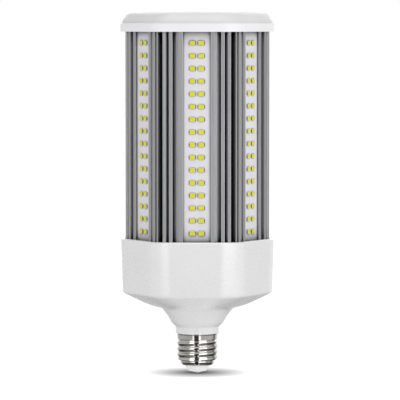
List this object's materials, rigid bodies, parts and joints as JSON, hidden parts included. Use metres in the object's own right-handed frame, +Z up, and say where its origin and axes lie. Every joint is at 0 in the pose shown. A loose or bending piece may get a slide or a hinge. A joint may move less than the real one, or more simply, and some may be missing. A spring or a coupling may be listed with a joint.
{
  "type": "corn led bulb",
  "caption": "Hexagonal corn LED bulb: finned aluminium body with LED strips on every side, white housing, frosted top cover and an Edison screw base",
  "frame": {"origin": "lowest point of the centre contact, on the bulb's axis", "axes": "+Z up the bulb's axis from the screw base to the frosted cover; -Y faces the LED strip seen in front; +X through a corner of the hexagon"},
  "size_m": [0.098, 0.09, 0.2308],
  "materials": {
    "nickel_shell": "nickel-plated rolled brass, polished",
    "contact_metal": "tinned contact",
    "base_insulator": "white moulded insulator",
    "white_housing": "white moulded plastic, satin gloss",
    "white_ring": "white moulded plastic, satin gloss",
    "frosted_cover": "frosted light diffuser",
    "extruded_aluminium": "extruded, drawn lines along its length",
    "plate_aluminium": "sheet, deburred",
    "white_board": "white solder mask",
    "led_phosphor": "yellow phosphor in a white package",
    "screw_steel": "zinc plated",
    "sleeve_plastic": "insulating sleeve",
    "green_board": "solder mask",
    "black_epoxy": "moulded epoxy",
    "copper_winding": "enamelled copper wire",
    "film_case": "film capacitor case",
    "can_sleeve": "shrink sleeve",
    "ferrite": "sintered ferrite",
    "winding_tape": "polyester tape",
    "white_lead": "insulated wire",
    "red_lead": "insulated wire",
    "black_lead": "insulated wire"
  },
  "bodies": {
    "root": {"screw_shell": "nickel_shell", "center_contact": "contact_metal", "base_insulator": "base_insulator", "lower_housing": "white_housing", "top_ring": "white_ring", "top_cover": "frosted_cover", "heat_sink": "extruded_aluminium", "top_plate": "plate_aluminium", "led_board_1": "white_board", "led_board_2": "white_board", "led_board_3": "white_board", "led_board_4": "white_board", "led_board_5": "white_board", "led_board_6": "white_board", "top_led_board": "white_board", "led_chips_1": "led_phosphor", "led_chips_2": "led_phosphor", "led_chips_3": "led_phosphor", "led_chips_4": "led_phosphor", "led_chips_5": "led_phosphor", "led_chips_6": "led_phosphor", "top_led_chips": "led_phosphor", "top_plate_screws": "screw_steel", "sleeve_screws": "screw_steel", "driver_sleeve": "sleeve_plastic", "driver_board": "green_board", "input_fuse": "black_epoxy", "bridge_rectifier": "black_epoxy", "power_transistor": "black_epoxy", "line_choke": "copper_winding", "film_capacitor": "film_case", "input_capacitor": "can_sleeve", "output_capacitor_1": "can_sleeve", "output_capacitor_2": "can_sleeve", "transformer_core": "ferrite", "transformer_winding": "winding_tape", "live_lead": "white_lead", "neutral_lead": "white_lead", "positive_lamp_lead": "red_lead", "negative_lamp_lead": "black_lead"}
  },
  "joints": []
}
